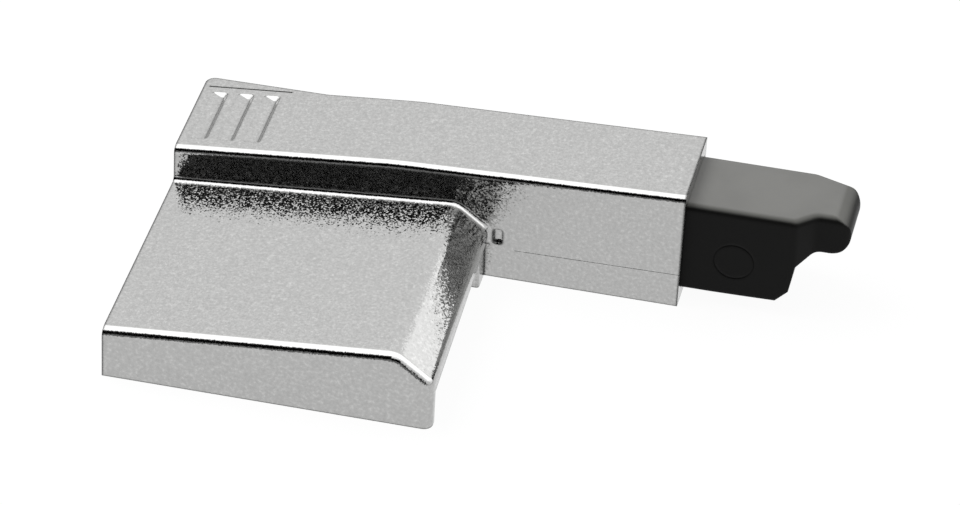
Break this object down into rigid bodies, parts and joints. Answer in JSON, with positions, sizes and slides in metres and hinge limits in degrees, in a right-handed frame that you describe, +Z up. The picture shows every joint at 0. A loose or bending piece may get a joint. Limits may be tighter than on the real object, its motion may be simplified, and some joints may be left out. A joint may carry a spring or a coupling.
{
  "type": "soft close damper",
  "caption": "Clip-on damper for a cabinet hinge arm: cast barrel with a saddle beside it and a sprung plunger that slides in and slows the closing door.",
  "frame": {"origin": "centre of the whole part's box on the plane of its flat base, with the plunger out", "axes": "+X along the barrel, the way the plunger comes out; +Z up, from the base to the barrel's top; the saddle lies to -Y of the barrel"},
  "size_m": [0.0644, 0.0354, 0.0126],
  "materials": {
    "nickel_plating": "satin nickel plating on cast zinc, finely grained",
    "black_plastic": "smooth moulded black plastic",
    "spring_steel": "bright spring steel",
    "bright_steel": "ground and polished steel",
    "drawn_aluminium": "drawn aluminium tube",
    "white_acetal": "natural acetal moulding",
    "seal_rubber": "black sealing rubber",
    "foam": "closed-cell foam rubber"
  },
  "bodies": {
    "barrel": {"housing": "nickel_plating", "latch_spring": "spring_steel", "piston_rod": "bright_steel", "piston": "white_acetal", "piston_ring": "white_acetal", "valve_disc": "bright_steel", "rod_clip": "spring_steel"},
    "plunger": {"slider": "black_plastic", "damper_cylinder": "drawn_aluminium", "rod_guide": "white_acetal", "guide_o_ring": "seal_rubber", "rod_seal": "seal_rubber", "seal_washer": "bright_steel", "compensator_foam": "foam", "foam_spacer": "white_acetal", "return_spring": "spring_steel"}
  },
  "joints": [
    {"name": "plunger_slide", "type": "slide", "parent": "barrel", "child": "plunger", "axis": [1, 0, 0], "range_m": [-0.009, 0], "stiffness_N_per_m": 190, "springref_m": 0.005, "deforming": ["return_spring"]}
  ]
}
